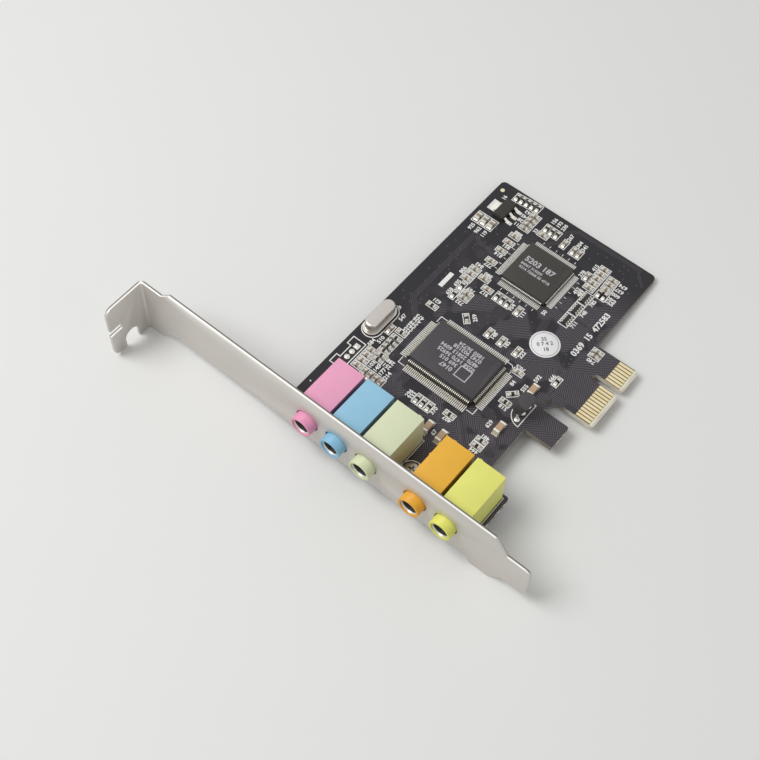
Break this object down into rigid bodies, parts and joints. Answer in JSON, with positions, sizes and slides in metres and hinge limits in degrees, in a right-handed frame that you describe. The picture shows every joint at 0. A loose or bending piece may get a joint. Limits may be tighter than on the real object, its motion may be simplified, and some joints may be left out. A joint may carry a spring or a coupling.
{
  "type": "sound card",
  "caption": "Expansion card with coloured audio jacks in a folded steel slot bracket, a keyed edge tongue, flat chips and rows of small chip parts.",
  "frame": {"origin": "on the bracket's outer face, level with the tongue's lower edge and the board's component side", "axes": "+X from the bracket into the machine, +Y along the bracket towards its flange, +Z out of the board's component side"},
  "size_m": [0.1056, 0.12, 0.0222],
  "materials": {
    "board": "satin solder mask on glass fibre",
    "gold": "gold flash",
    "bracket": "satin zinc plate",
    "screw": "zinc plate",
    "jack_lime": "satin",
    "jack_orange": "satin",
    "jack_green": "satin",
    "jack_blue": "satin",
    "jack_pink": "satin",
    "contact_metal": "bright nickel",
    "chip_black": "matt moulding compound",
    "tinned": "tin",
    "crystal": "satin nickel",
    "resistor": "satin",
    "capacitor": "satin",
    "label": "matt",
    "print": "screen printed ink",
    "solder": "bright solder"
  },
  "bodies": {
    "root": {"circuit_board": "board", "edge_contacts": "gold", "bracket": "bracket", "bracket_screw": "screw", "jack_lime": "jack_lime", "jack_orange": "jack_orange", "jack_green": "jack_green", "jack_blue": "jack_blue", "jack_pink": "jack_pink", "sleeve_pins": "contact_metal", "ring_pins": "contact_metal", "tip_pins": "contact_metal", "controller_chip": "chip_black", "controller_leads": "tinned", "bridge_chip": "chip_black", "bridge_leads": "tinned", "crystal_can": "crystal", "crystal_base": "crystal", "crystal_pins": "tinned", "regulator_body": "chip_black", "regulator_leads": "tinned", "transistor_body": "chip_black", "transistor_leads": "tinned", "chip_resistors": "resistor", "chip_capacitors": "capacitor", "large_capacitors": "capacitor", "chip_end_caps": "tinned", "resistor_arrays": "resistor", "array_terminals": "tinned"}
  },
  "joints": []
}
